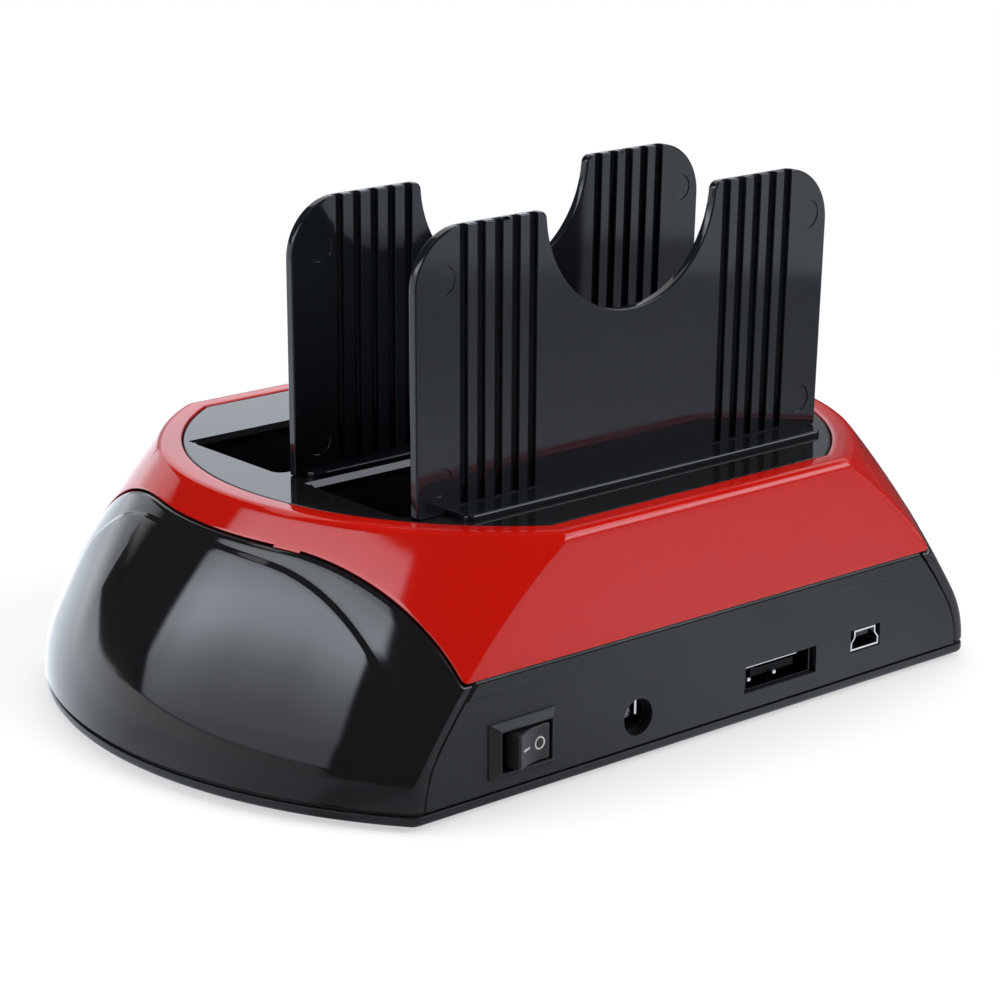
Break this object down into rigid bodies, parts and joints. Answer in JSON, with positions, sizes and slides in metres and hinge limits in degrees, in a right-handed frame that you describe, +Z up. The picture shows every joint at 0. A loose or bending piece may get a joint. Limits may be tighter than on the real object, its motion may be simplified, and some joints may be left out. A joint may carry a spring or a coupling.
{
  "type": "hard drive docking station",
  "caption": "Bell-shaped docking station with upright drive slots, guide plates with finger cut-outs, a rocker power switch and rear ports.",
  "frame": {"origin": "on the ground, under the middle of the body, on the axis of its turned shape", "axes": "+X along the port panel to the right as seen from outside, +Y from the port panel to the front, +Z up"},
  "size_m": [0.182, 0.1223, 0.0988],
  "materials": {
    "black_gloss": "polished black plastic",
    "plate_gloss": "polished dark plastic",
    "red_gloss": "polished red plastic",
    "black_satin": "fine satin black plastic",
    "bay_plastic": "matt black plastic",
    "board_green": "solder mask",
    "socket_black": "moulded black plastic",
    "contact_gold": "plated contacts",
    "port_metal": "bright plated sheet",
    "capacitor_can": "bare can",
    "button_grey": "grey plastic",
    "lamp_clear": "clear plastic",
    "screw_steel": "zinc plated",
    "foot_rubber": "matt rubber"
  },
  "bodies": {
    "case": {"left_end_cap": "black_gloss", "right_end_cap": "black_gloss", "top_panel": "black_gloss", "upper_shell": "red_gloss", "base_tray": "black_satin", "rear_panel": "black_satin", "front_panel": "black_satin", "switch_frame": "black_satin", "rear_drive_bay": "bay_plastic", "front_drive_bay": "bay_plastic", "main_board": "board_green", "rear_sata_socket": "socket_black", "front_sata_socket": "socket_black", "dc_jack": "socket_black", "esata_tongue": "socket_black", "mini_usb_tongue": "socket_black", "tact_switch": "socket_black", "bridge_chips": "socket_black", "sata_contacts": "contact_gold", "switch_blades": "contact_gold", "esata_shell": "port_metal", "mini_usb_shell": "port_metal", "dc_jack_pin": "port_metal", "quartz_crystal": "port_metal", "capacitors": "capacitor_can", "light_pipes": "lamp_clear", "status_leds": "lamp_clear", "case_screws": "screw_steel", "board_screws": "screw_steel", "bay_screws": "screw_steel", "rubber_feet": "foot_rubber"},
    "rocker": {"switch_rocker": "black_satin"},
    "button": {"backup_button": "button_grey"},
    "rear_plate": {"rear_guide_plate": "plate_gloss"},
    "front_plate": {"front_guide_plate": "plate_gloss"}
  },
  "joints": [
    {"name": "rocker_tilt", "type": "hinge", "parent": "case", "child": "rocker", "pos_m": [-0.046, -0.05705, 0.0107], "axis": [0, 0, -1], "range_deg": [0, 26]},
    {"name": "button_press", "type": "slide", "parent": "case", "child": "button", "axis": [0, -1, 0], "range_m": [0, 0.0008], "stiffness_N_per_m": 300},
    {"name": "rear_plate_lift", "type": "slide", "parent": "case", "child": "rear_plate", "axis": [0, 0, 1], "range_m": [0, 0.02]},
    {"name": "front_plate_lift", "type": "slide", "parent": "case", "child": "front_plate", "axis": [0, 0, 1], "range_m": [0, 0.02]}
  ]
}
